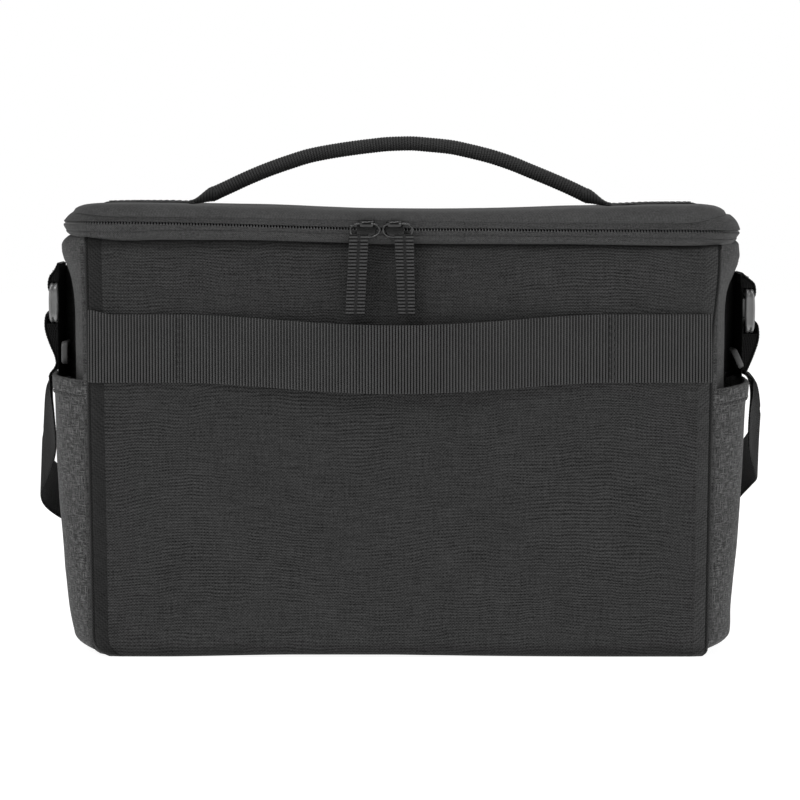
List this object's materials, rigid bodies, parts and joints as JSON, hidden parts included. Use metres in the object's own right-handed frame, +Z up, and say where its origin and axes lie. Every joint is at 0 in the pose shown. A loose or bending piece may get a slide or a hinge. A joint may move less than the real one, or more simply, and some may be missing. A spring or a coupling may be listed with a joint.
{
  "type": "camera bag",
  "caption": "Padded shoulder bag for a camera with a zipped lid, carry handle, side pockets, a trolley band and a shoulder strap",
  "frame": {"origin": "middle of the base, on the surface the bag stands on", "axes": "+X along the bag's length, +Y from the back with the band to the front with the zipped pocket, +Z up"},
  "size_m": [0.4166, 0.2549, 0.2826],
  "materials": {
    "panel_cloth": "matte",
    "heather_cloth": "matte",
    "webbing": "matte",
    "strap_cloth": "matte",
    "zipper_tape": "matte",
    "lining": "matte",
    "stiff_board": "matte",
    "slider_metal": "gloss",
    "ring_metal": "satin",
    "buckle": "satin"
  },
  "bodies": {
    "body": {"back_panel": "panel_cloth", "front_panel": "heather_cloth", "left_side_panel": "heather_cloth", "right_side_panel": "heather_cloth", "bottom_panel": "panel_cloth", "foam_back": "lining", "foam_front": "lining", "foam_left": "lining", "foam_right": "lining", "base_board": "stiff_board", "floor_pad": "lining", "body_zipper_tape": "zipper_tape", "back_band": "webbing", "side_pocket_left": "heather_cloth", "side_pocket_right": "heather_cloth", "pocket_hem_left": "heather_cloth", "pocket_hem_right": "heather_cloth", "front_pocket": "heather_cloth", "front_zip_tape_lower": "zipper_tape", "front_zip_tape_upper": "zipper_tape"},
    "lid": {"lid_panel": "heather_cloth", "lid_pad": "lining", "lid_zipper_tape": "zipper_tape", "lid_hinge_strip": "heather_cloth", "handle_end_left": "webbing", "handle_end_right": "webbing"},
    "handle": {"carry_handle": "webbing"},
    "strap": {"strap_tab_left": "strap_cloth", "strap_ring_left": "ring_metal", "strap_loop_left": "strap_cloth", "strap_adjuster_left": "buckle", "shoulder_strap_left": "strap_cloth", "strap_tab_right": "strap_cloth", "strap_ring_right": "ring_metal", "strap_loop_right": "strap_cloth", "strap_adjuster_right": "buckle", "shoulder_strap_right": "strap_cloth", "shoulder_pad": "strap_cloth"},
    "divider_left": {"divider_left": "lining"},
    "divider_right": {"divider_right": "lining"},
    "left_zip": {"left_slider": "slider_metal"},
    "left_pull": {"left_pull_bail": "slider_metal", "left_pull_tape": "webbing"},
    "right_zip": {"right_slider": "slider_metal"},
    "right_pull": {"right_pull_bail": "slider_metal", "right_pull_tape": "webbing"},
    "front_zip": {"front_slider": "slider_metal"},
    "front_pull": {"front_pull_bail": "slider_metal", "front_pull_tape": "webbing"}
  },
  "joints": [
    {"name": "lid_hinge", "type": "hinge", "parent": "body", "child": "lid", "pos_m": [0, 0.068, 0.227], "axis": [-1, 0, 0], "range_deg": [0, 175]},
    {"name": "handle_swing", "type": "hinge", "parent": "lid", "child": "handle", "pos_m": [0, -0.009, 0.251], "axis": [1, 0, 0], "range_deg": [-75, 75], "stiffness_Nm_per_rad": 0.02},
    {"name": "strap_swing", "type": "hinge", "parent": "body", "child": "strap", "pos_m": [0, 0, 0.213], "axis": [1, 0, 0], "range_deg": [0, 150]},
    {"name": "left_slider_slide", "type": "slide", "parent": "body", "child": "left_zip", "axis": [-1, 0, 0], "range_m": [0, 0.125]},
    {"name": "left_pull_swing", "type": "hinge", "parent": "left_zip", "child": "left_pull", "pos_m": [-0.018, -0.0909, 0.2352], "axis": [-1, 0, 0], "range_deg": [0, 150]},
    {"name": "right_slider_slide", "type": "slide", "parent": "body", "child": "right_zip", "axis": [1, 0, 0], "range_m": [0, 0.132]},
    {"name": "right_pull_swing", "type": "hinge", "parent": "right_zip", "child": "right_pull", "pos_m": [-0.003, -0.0909, 0.2352], "axis": [-1, 0, 0], "range_deg": [0, 150]},
    {"name": "front_slider_slide", "type": "slide", "parent": "body", "child": "front_zip", "axis": [-1, 0, 0], "range_m": [0, 0.244]},
    {"name": "front_pull_swing", "type": "hinge", "parent": "front_zip", "child": "front_pull", "pos_m": [0.122, 0.08945, 0.1713], "axis": [1, 0, 0], "range_deg": [0, 110]},
    {"name": "divider_left_slide", "type": "slide", "parent": "body", "child": "divider_left", "axis": [1, 0, 0], "range_m": [-0.03, 0.03]},
    {"name": "divider_right_slide", "type": "slide", "parent": "body", "child": "divider_right", "axis": [1, 0, 0], "range_m": [-0.03, 0.03]}
  ]
}
